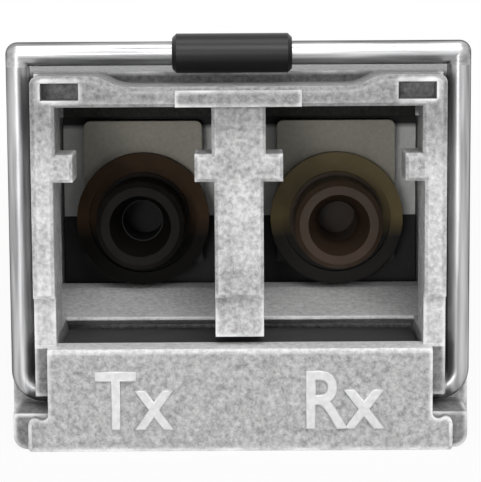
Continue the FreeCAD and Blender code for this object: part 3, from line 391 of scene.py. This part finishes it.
# Dark brown polymer, moulded: smooth and slightly clouded. The thin flange shows its brown above the
# axis, and below it is painted nearly black as shade where light doesn't reach. The thick tube is
# nearly black.
UMBER_CLOUD = 0.5 * MM
umber, coords = new_material("dark_brown_polymer_moulded")
lit, around = barrel_zones(umber, coords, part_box("tx_barrel"))
cloud = add(umber, "TexNoise", inputs={"Scale": 1 / UMBER_CLOUD, "Detail": 2.0},
            links={"Vector": (coords, "Object")})
thin = add(umber, "Mix", {"data_type": "RGBA"}, {"A": linear("#3d2d1f"), "B": linear("#533f2d")},
           {"Factor": (cloud, "Fac")})
# Painted shade: below the optical axis the flange is painted nearly black.
thin = add(umber, "Mix", {"data_type": "RGBA"}, {"A": linear("#12100e")},
           {"Factor": (lit, "Result"), "B": (thin, "Result")})
thick = add(umber, "Mix", {"data_type": "RGBA"}, {"A": linear("#191715"), "B": linear("#262321")},
            {"Factor": (cloud, "Fac")})
flange = add(umber, "MapRange", inputs={"From Min": TUBE_R, "From Max": TUBE_R + TUBE_BLEND},
             links={"Value": (around, "Value")})
tone = add(umber, "Mix", {"data_type": "RGBA"},
           links={"Factor": (flange, "Result"), "A": (thick, "Result"), "B": (thin, "Result")})
surface = add(umber, "BsdfPrincipled", inputs={"Roughness": 0.45, "Specular IOR Level": 0.05},
              links={"Base Color": (tone, "Result")})
add(umber, "OutputMaterial", links={"Surface": (surface, "BSDF")})
dress(umber, "tx_barrel")

# Receive barrel: shaped like the transmit barrel, but moulded in clear amber polyetherimide in one
# piece with its lens. The photodiode can sits in the cup behind the lens.
LENS_R = 0.66 * MM

# Amber polyetherimide, moulded: light goes a little way in, so that the thin flange glows olive above
# the axis and is painted nearly black as shade below it, while the thick tube and the lens at the end
# of the bore stay brown.
AMBER_CLOUD = 0.6 * MM
amber, coords = new_material("amber_polyetherimide_moulded")
lit, around = barrel_zones(amber, coords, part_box("rx_barrel"))
cloud = add(amber, "TexNoise", inputs={"Scale": 1 / AMBER_CLOUD, "Detail": 2.0},
            links={"Vector": (coords, "Object")})
thin = add(amber, "Mix", {"data_type": "RGBA"}, {"A": linear("#6d5e36"), "B": linear("#887850")},
           {"Factor": (cloud, "Fac")})
# Painted shade: below the optical axis the flange is painted nearly black.
thin = add(amber, "Mix", {"data_type": "RGBA"}, {"A": linear("#17120c")},
           {"Factor": (lit, "Result"), "B": (thin, "Result")})
thick = add(amber, "Mix", {"data_type": "RGBA"}, {"A": linear("#413329"), "B": linear("#534337")},
            {"Factor": (cloud, "Fac")})
bore = add(amber, "MapRange", inputs={"From Min": LENS_R, "From Max": LENS_R + TUBE_BLEND},
           links={"Value": (around, "Value")})
thick = add(amber, "Mix", {"data_type": "RGBA"}, {"A": linear("#3a2c21")},
            {"Factor": (bore, "Result"), "B": (thick, "Result")})
flange = add(amber, "MapRange", inputs={"From Min": TUBE_R, "From Max": TUBE_R + TUBE_BLEND},
             links={"Value": (around, "Value")})
tone = add(amber, "Mix", {"data_type": "RGBA"},
           links={"Factor": (flange, "Result"), "A": (thick, "Result"), "B": (thin, "Result")})
surface = add(amber, "BsdfPrincipled",
              inputs={"Roughness": 0.34, "IOR": 1.66, "Transmission Weight": 0.1,
                      "Specular IOR Level": 0.05},
              links={"Base Color": (tone, "Result")})
add(amber, "OutputMaterial", links={"Surface": (surface, "BSDF")})
dress(amber, "rx_barrel")

# Split sleeve and stub in the transmit barrel: zirconia ceramic, fired and then ground to size. The
# sleeve's slit lets it grip the plug's ferrule and centre it on the stub behind it.
SLEEVE_SHEEN = 0.2 * MM

# Black zirconia, ground: dark and silky, with a faint unevenness from the wheel.
zirconia, coords = new_material("black_zirconia_ground")
sheen = add(zirconia, "TexNoise", inputs={"Scale": 1 / SLEEVE_SHEEN, "Detail": 2.0},
            links={"Vector": (coords, "Object")})
tone = add(zirconia, "Mix", {"data_type": "RGBA"}, {"A": linear("#222121"), "B": linear("#302f2f")},
           {"Factor": (sheen, "Fac")})
surface = add(zirconia, "BsdfPrincipled",
              inputs={"Roughness": 0.6, "IOR": 2.1, "Specular IOR Level": 0.05},
              links={"Base Color": (tone, "Result")})
add(zirconia, "OutputMaterial", links={"Surface": (surface, "BSDF")})
dress(zirconia, "tx_split_sleeve", "tx_ferrule_stub")

# Laser and photodiode cans with their pins: steel, stamped, welded and gold plated. Each can sits in
# the cup at the back of its barrel, and its pins are sealed in its header.
PLATING_PATCH = 0.8 * MM

# Gold plated steel: a warm mirror, dulled in patches where the plating is thin.
plated, coords = new_material("steel_gold_plated")
patch = add(plated, "TexNoise", inputs={"Scale": 1 / PLATING_PATCH, "Detail": 3.0},
            links={"Vector": (coords, "Object")})
tone = add(plated, "Mix", {"data_type": "RGBA"}, {"A": linear("#c6a560"), "B": linear("#ecd69f")},
           {"Factor": (patch, "Fac")})
dull = add(plated, "MapRange", inputs={"To Min": 0.16, "To Max": 0.36}, links={"Value": (patch, "Fac")})
surface = add(plated, "BsdfPrincipled", inputs={"Metallic": 1.0},
              links={"Base Color": (tone, "Result"), "Roughness": (dull, "Result")})
add(plated, "OutputMaterial", links={"Surface": (surface, "BSDF")})
dress(plated, "tx_can", "rx_can", "tx_leads", "rx_leads")

# Flexible circuits: polyimide film laminated over copper tracks. Each is soldered to the pins of its
# can, folded over the top and soldered down on the board.
FLEX_TRACK_PITCH = 0.8 * MM
WAVE_PERIOD = math.pi / 10

# Polyimide film, laminated: a glossy orange-brown that the tracks show through as lighter stripes.
# Blender's wave repeats every tenth of pi at a scale of one.
film, coords = new_material("polyimide_film_laminated")
tracks = add(film, "TexWave", {"wave_type": "BANDS", "bands_direction": "X"},
             {"Scale": WAVE_PERIOD / FLEX_TRACK_PITCH, "Distortion": 0.0},
             {"Vector": (coords, "Object")})
tone = add(film, "Mix", {"data_type": "RGBA"}, {"A": linear("#8a4f16"), "B": linear("#c98a3a")},
           {"Factor": (tracks, "Fac")})
surface = add(film, "BsdfPrincipled", inputs={"Roughness": 0.3, "IOR": 1.7},
              links={"Base Color": (tone, "Result")})
add(film, "OutputMaterial", links={"Surface": (surface, "BSDF")})
dress(film, "tx_flex", "rx_flex")

# Board: glass-fibre laminate with a narrow, bevelled contact edge. It lies on ledges in the trough,
# and the casting's ribs enter its side notches.
LANE_LENGTH = 2.6 * MM
LANE_WIDTH = 0.9 * MM
LANE_SHIFT = 0.37
BOARD_TRACK = 0.11 * MM
TRACK_HEIGHT = 0.02 * MM

# Green laminate under solder mask: a glossy coat, with the tracks under it as raised, lighter lines.
laminate, coords = new_material("green_laminate_solder_mask")
lanes = add(laminate, "TexBrick", {"offset": LANE_SHIFT, "squash": 1.0},
            {"Scale": 1.0, "Mortar Size": BOARD_TRACK, "Brick Width": LANE_LENGTH,
             "Row Height": LANE_WIDTH, "Color1": linear("#14532f"), "Color2": linear("#175a34"),
             "Mortar": linear("#2c7a49")},
            {"Vector": (coords, "Object")})
ridge = add(laminate, "Bump", inputs={"Strength": 0.4, "Distance": TRACK_HEIGHT},
            links={"Height": (lanes, "Fac")})
surface = add(laminate, "BsdfPrincipled", inputs={"Roughness": 0.32, "IOR": 1.55},
              links={"Base Color": (lanes, "Color"), "Normal": (ridge, "Normal")})
add(laminate, "OutputMaterial", links={"Surface": (surface, "BSDF")})
dress(laminate, "pcb")

# Edge contacts: copper fingers on both faces of the board, plated with nickel and then hard gold. The
# ground fingers reach further out, so that they mate first.
WIPE_LINE = 0.06 * MM
WIPE_STRETCH = 0.06

# Contact gold, wiped: the host's springs leave bright lines along the way they slide, which are drawn
# coarser than real so that they show.
gold, coords = new_material("contact_gold_wiped")
along = add(gold, "Mapping", inputs={"Scale": (1.0, WIPE_STRETCH, 1.0)},
            links={"Vector": (coords, "Object")})
wipe = add(gold, "TexNoise", inputs={"Scale": 1 / WIPE_LINE, "Detail": 2.0},
           links={"Vector": (along, "Vector")})
tone = add(gold, "Mix", {"data_type": "RGBA"}, {"A": linear("#cf9f3c"), "B": linear("#f6d47e")},
           {"Factor": (wipe, "Fac")})
dull = add(gold, "MapRange", inputs={"To Min": 0.14, "To Max": 0.38}, links={"Value": (wipe, "Fac")})
surface = add(gold, "BsdfPrincipled", inputs={"Metallic": 1.0},
              links={"Base Color": (tone, "Result"), "Roughness": (dull, "Result")})
add(gold, "OutputMaterial", links={"Surface": (surface, "BSDF")})
dress(gold, "contacts_top", "contacts_bottom")

# Chips: laser driver, receive amplifier and controller, each a flat square package of black moulding
# compound, soldered to the board.
COMPOUND_GRIT = 0.08 * MM

# Moulding compound, matt: nearly black and finely pitted, so it has no clear highlight. The grit is
# drawn coarser than real so that it shows.
compound, coords = new_material("moulding_compound_matt")
grit = add(compound, "TexNoise", inputs={"Scale": 1 / COMPOUND_GRIT, "Detail": 3.0},
           links={"Vector": (coords, "Object")})
tone = add(compound, "Mix", {"data_type": "RGBA"}, {"A": linear("#171719"), "B": linear("#2f2f32")},
           {"Factor": (grit, "Fac")})
surface = add(compound, "BsdfPrincipled", inputs={"Roughness": 0.62, "IOR": 1.55},
              links={"Base Color": (tone, "Result")})
add(compound, "OutputMaterial", links={"Surface": (surface, "BSDF")})
dress(compound, "driver_chip", "amplifier_chip", "controller_chip")

# Small capacitors and resistors: layered ceramic blocks, pressed and fired, soldered to the board in
# rows beside the controller.
BATCH_PATCH = 0.7 * MM

# Ceramic, fired: brown with a dull gloss, and not quite the same from block to block.
ceramic, coords = new_material("ceramic_chip_fired")
batch = add(ceramic, "TexNoise", inputs={"Scale": 1 / BATCH_PATCH, "Detail": 2.0},
            links={"Vector": (coords, "Object")})
tone = add(ceramic, "Mix", {"data_type": "RGBA"}, {"A": linear("#7a5b3d"), "B": linear("#b8986e")},
           {"Factor": (batch, "Fac")})
surface = add(ceramic, "BsdfPrincipled", inputs={"Roughness": 0.42, "IOR": 1.8},
              links={"Base Color": (tone, "Result")})
add(ceramic, "OutputMaterial", links={"Surface": (surface, "BSDF")})
dress(ceramic, "passives")

# Thermal pad: soft silicone filled with ceramic powder, cut from sheet. It lies between the board's
# underside and the casting, and carries the driver's heat away.
FILLER_GRAIN = 0.1 * MM

# Filled silicone: grey-blue and quite matt, speckled by a filler that is drawn coarser than real so
# that it shows.
silicone, coords = new_material("silicone_pad_filled")
filler = add(silicone, "TexNoise", inputs={"Scale": 1 / FILLER_GRAIN, "Detail": 3.0},
             links={"Vector": (coords, "Object")})
tone = add(silicone, "Mix", {"data_type": "RGBA"}, {"A": linear("#7f90a2"), "B": linear("#a7b5c2")},
           {"Factor": (filler, "Fac")})
surface = add(silicone, "BsdfPrincipled", inputs={"Roughness": 0.8, "IOR": 1.43},
              links={"Base Color": (tone, "Result")})
add(silicone, "OutputMaterial", links={"Surface": (surface, "BSDF")})
dress(silicone, "thermal_pad")

# Top cover: stainless sheet, blanked and folded over the trough. Windows in its side flaps snap over
# wedges on the casting and hold it.
ROLLED_LINE = 0.09 * MM
ROLLED_STRETCH = 0.03
ROLLED_DEPTH = 0.02 * MM

# Stainless sheet, rolled: fine lines along the sheet stretch its highlights across them. The lines are
# drawn coarser than real so that they show.
sheet, coords = new_material("stainless_sheet_rolled")
along = add(sheet, "Mapping", inputs={"Scale": (1.0, ROLLED_STRETCH, 1.0)},
            links={"Vector": (coords, "Object")})
lines = add(sheet, "TexNoise", inputs={"Scale": 1 / ROLLED_LINE, "Detail": 3.0},
            links={"Vector": (along, "Vector")})
tone = add(sheet, "Mix", {"data_type": "RGBA"}, {"A": linear("#a9a8a6"), "B": linear("#d0cfcd")},
           {"Factor": (lines, "Fac")})
dull = add(sheet, "MapRange", inputs={"To Min": 0.24, "To Max": 0.42}, links={"Value": (lines, "Fac")})
scored = add(sheet, "Bump", inputs={"Strength": 0.25, "Distance": ROLLED_DEPTH},
             links={"Height": (lines, "Fac")})
surface = add(sheet, "BsdfPrincipled", inputs={"Metallic": 1.0},
              links={"Base Color": (tone, "Result"), "Roughness": (dull, "Result"),
                     "Normal": (scored, "Normal")})
add(sheet, "OutputMaterial", links={"Surface": (surface, "BSDF")})
dress(sheet, "top_cover")

# Grounding collar: thin copper-alloy spring sheet, folded round the body behind the nose. Its bowed
# fingers press on the cage, and it is plated with nickel after forming.
NICKEL_PATCH = 0.6 * MM

# Nickel plated spring sheet: a slightly warm, bright metal, clouded in small patches.
nickel, coords = new_material("spring_copper_nickel_plated")
patch = add(nickel, "TexNoise", inputs={"Scale": 1 / NICKEL_PATCH, "Detail": 3.0},
            links={"Vector": (coords, "Object")})
tone = add(nickel, "Mix", {"data_type": "RGBA"}, {"A": linear("#b2ab9d"), "B": linear("#ddd8cd")},
           {"Factor": (patch, "Fac")})
dull = add(nickel, "MapRange", inputs={"To Min": 0.2, "To Max": 0.34}, links={"Value": (patch, "Fac")})
surface = add(nickel, "BsdfPrincipled", inputs={"Metallic": 1.0},
              links={"Base Color": (tone, "Result"), "Roughness": (dull, "Result")})
add(nickel, "OutputMaterial", links={"Surface": (surface, "BSDF")})
dress(nickel, "emi_collar")

# Latch slide: moulded in acetal, which slides without oil. It runs in the channel behind the chin, and
# its wedge tines lift the cage's latch tab off the boss.
ACETAL_CLOUD = 0.9 * MM

# Dark acetal, moulded: smooth but dull, a waxy dark grey with slight clouding.
acetal, coords = new_material("dark_acetal_moulded")
cloud = add(acetal, "TexNoise", inputs={"Scale": 1 / ACETAL_CLOUD, "Detail": 2.0},
            links={"Vector": (coords, "Object")})
tone = add(acetal, "Mix", {"data_type": "RGBA"}, {"A": linear("#404041"), "B": linear("#545455")},
           {"Factor": (cloud, "Fac")})
surface = add(acetal, "BsdfPrincipled",
              inputs={"Roughness": 0.5, "IOR": 1.48, "Specular IOR Level": 0.3},
              links={"Base Color": (tone, "Result")})
add(acetal, "OutputMaterial", links={"Surface": (surface, "BSDF")})
dress(acetal, "actuator_slide")

# Bail: spring steel wire, drawn bright and bent to a bow. Its in-turned ends pivot in the chin, and
# a crank on each moves the slide.
BAR_DEPTH = 0.72 * MM
DRAWN_LINE = 0.2 * MM
DRAWN_STRETCH = 0.05
DRAWN_SPREAD = (0.35, 0.65)
bar_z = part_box("bail")[1].z - BAR_DEPTH

# Spring steel, drawn: a soft mirror with one bright line along the wire between greyer flanks. Drawing
# scores it lengthwise, up the legs and across the bar, and the scores are drawn coarser than real so
# that they show.
steel, coords = new_material("spring_steel_drawn")
drawn = []
for stretch in ((1.0, 1.0, DRAWN_STRETCH), (DRAWN_STRETCH, 1.0, 1.0)):
    along = add(steel, "Mapping", inputs={"Scale": stretch}, links={"Vector": (coords, "Object")})
    drawn.append(add(steel, "TexNoise", inputs={"Scale": 1 / DRAWN_LINE, "Detail": 2.0},
                     links={"Vector": (along, "Vector")}))
up_legs, across_bar = drawn
at = add(steel, "SeparateXYZ", links={"Vector": (coords, "Object")})
bar = add(steel, "Math", {"operation": "GREATER_THAN"}, {1: bar_z}, {0: (at, "Z")})
scores = add(steel, "Mix", {"data_type": "RGBA"},
             links={"Factor": (bar, "Value"), "A": (up_legs, "Fac"), "B": (across_bar, "Fac")})
lines = add(steel, "MapRange", inputs={"From Min": DRAWN_SPREAD[0], "From Max": DRAWN_SPREAD[1]},
            links={"Value": (scores, "Result")})
tone = add(steel, "Mix", {"data_type": "RGBA"}, {"A": linear("#909091"), "B": linear("#c6c6c7")},
           {"Factor": (lines, "Result")})
dull = add(steel, "MapRange", inputs={"To Min": 0.28, "To Max": 0.4}, links={"Value": (lines, "Result")})
surface = add(steel, "BsdfPrincipled", inputs={"Metallic": 1.0, "Specular Tint": linear("#303030")},
              links={"Base Color": (tone, "Result"), "Roughness": (dull, "Result")})
add(steel, "OutputMaterial", links={"Surface": (surface, "BSDF")})
dress(steel, "bail")

# Bail sleeve: a grip of black elastomer on the bail's bar, moulded as a tube with bevelled rims. The
# finger that pulls the bail down bears on it.
SKIN_GRAIN = 0.15 * MM

# Black elastomer, moulded: nearly black with a soft sheen. Its grain is drawn coarser than real so
# that it shows.
rubber, coords = new_material("black_elastomer_moulded")
bloom = add(rubber, "TexNoise", inputs={"Scale": 1 / SKIN_GRAIN, "Detail": 3.0},
            links={"Vector": (coords, "Object")})
tone = add(rubber, "Mix", {"data_type": "RGBA"}, {"A": linear("#0b0b0c"), "B": linear("#18181a")},
           {"Factor": (bloom, "Fac")})
surface = add(rubber, "BsdfPrincipled", inputs={"Roughness": 0.36, "Specular IOR Level": 0.3},
              links={"Base Color": (tone, "Result")})
add(rubber, "OutputMaterial", links={"Surface": (surface, "BSDF")})
dress(rubber, "bail_sleeve")

# Studio floor: a flat sheet of white paper under the object. To the eye it glows an even white, and
# near the object a small share of plain paper in it keeps a soft shadow.
FLOOR_SIZE = 12.0
FLOOR_DROP = 0.02 * MM
SHADOW_REACH = 0.12
SHADOW_SHARE = 0.1


def seen_by_eye(owner):
    """1 for rays from the camera, off a gloss or through a clear piece, and 0 for all others."""
    rays = add(owner, "LightPath")
    seen = add(owner, "Math", {"operation": "MAXIMUM"},
               links={0: (rays, "Is Camera Ray"), 1: (rays, "Is Glossy Ray")})
    return add(owner, "Math", {"operation": "MAXIMUM"},
               links={0: (seen, "Value"), 1: (rays, "Is Transmission Ray")})


# White paper, matt: no gloss at all, with a cloudy look from its fibres.
PAPER_CLOUD = 2 * MM
paper, coords = new_material("white_paper_matt")
fibre = add(paper, "TexNoise", inputs={"Scale": 1 / PAPER_CLOUD, "Detail": 2.0},
            links={"Vector": (coords, "Object")})
tone = add(paper, "Mix", {"data_type": "RGBA"}, {"A": linear("#eaeaea"), "B": linear("#f6f6f6")},
           {"Factor": (fibre, "Fac")})
matt = add(paper, "BsdfPrincipled", inputs={"Roughness": 0.9}, links={"Base Color": (tone, "Result")})
glow = add(paper, "Emission", inputs={"Color": linear("#ffffff"), "Strength": 1.0})
near = add(paper, "Mapping", inputs={"Scale": [1 / SHADOW_REACH] * 3},
           links={"Vector": (coords, "Object")})
fade = add(paper, "TexGradient", {"gradient_type": "SPHERICAL"}, links={"Vector": (near, "Vector")})
clear = add(paper, "MapRange", inputs={"To Min": 1.0, "To Max": 1 - SHADOW_SHARE},
            links={"Value": (fade, "Fac")})
share = add(paper, "Math", {"operation": "MULTIPLY"},
            links={0: (seen_by_eye(paper), "Value"), 1: (clear, "Result")})
blend = add(paper, "MixShader", links={0: (share, "Value"), 1: (matt, "BSDF"), 2: (glow, "Emission")})
add(paper, "OutputMaterial", links={"Surface": (blend, "Shader")})
shape = bmesh.new()
bmesh.ops.create_grid(shape, x_segments=1, y_segments=1, size=FLOOR_SIZE / 2)
bmesh.ops.translate(shape, verts=shape.verts, vec=(0, 0, -FLOOR_DROP))
floor_mesh = bpy.data.meshes.new("floor")
shape.to_mesh(floor_mesh)
shape.free()
floor_mesh.materials.append(paper)
floor = bpy.data.objects.new("floor", floor_mesh)
bpy.context.scene.collection.objects.link(floor)

# Light: a soft box in front above the object, a second lamp overhead for the faces that look up, and
# a weaker one low behind the camera that reaches into the ports. A pale room fills in the rest, and
# the eye sees it as plain white.
AMBIENT = 0.3
AIM_DEPTH = 2 * MM
AIM_Z = 6 * MM
world = bpy.data.worlds.new("studio")
world.use_nodes = True
bpy.context.scene.world = world
world.node_tree.nodes.clear()
room = add(world, "Background", inputs={"Color": linear("#ffffff"), "Strength": AMBIENT})
white = add(world, "Background", inputs={"Color": linear("#ffffff"), "Strength": 1.0})
blend = add(world, "MixShader",
            links={0: (seen_by_eye(world), "Value"), 1: (room, "Background"), 2: (white, "Background")})
add(world, "OutputWorld", links={"Surface": (blend, "Shader")})
nose = Vector((0, front_y + AIM_DEPTH, AIM_Z))


def lamp(name, turn, height, distance, size, power):
    """Soft square lamp aimed at the nose; turn and height are angles from straight ahead."""
    light = bpy.data.lights.new(name, "AREA")
    light.size = size
    light.energy = power
    stand = bpy.data.objects.new(name, light)
    side = math.radians(turn)
    up = math.radians(height)
    toward = Vector((math.sin(side) * math.cos(up), -math.cos(side) * math.cos(up), math.sin(up)))
    stand.location = nose + toward * distance
    stand.rotation_euler = (-toward).to_track_quat("-Z", "Y").to_euler()
    bpy.context.scene.collection.objects.link(stand)


lamp("key_softbox", turn=8, height=36, distance=0.35, size=0.13, power=0.48)
lamp("top_strip", turn=0, height=74, distance=0.35, size=0.15, power=0.3)
lamp("front_fill", turn=-10, height=4, distance=0.4, size=0.08, power=0.28)

# Camera: close in front of the nose and a little above it, as in the photograph. Its focal length is
# in pixels of the photograph's longer side.
CAMERA_BACK = 60 * MM
CAMERA_Z = 14.2 * MM
CAMERA_X = 0.2 * MM
DOWN = math.radians(7.6)
ROLL = math.radians(-0.35)
TURN = math.radians(0.155)
PHOTO_SIDE = 482
FOCAL_PIXELS = 2106
SENSOR = 36
NEAREST = 1 * MM
FARTHEST = 50
lens = bpy.data.cameras.new("camera")
lens.sensor_width = SENSOR
lens.lens = FOCAL_PIXELS / PHOTO_SIDE * SENSOR
lens.clip_start = NEAREST
lens.clip_end = FARTHEST
camera = bpy.data.objects.new("camera", lens)
tilt = Matrix.Rotation(math.pi / 2 - DOWN, 4, "X") @ Matrix.Rotation(ROLL, 4, "Z")
aim = Matrix.Rotation(TURN, 4, "Z") @ tilt
camera.matrix_world = Matrix.Translation((CAMERA_X, front_y - CAMERA_BACK, CAMERA_Z)) @ aim
bpy.context.scene.collection.objects.link(camera)
bpy.context.scene.camera = camera
bpy.context.scene.view_settings.view_transform = "Standard"
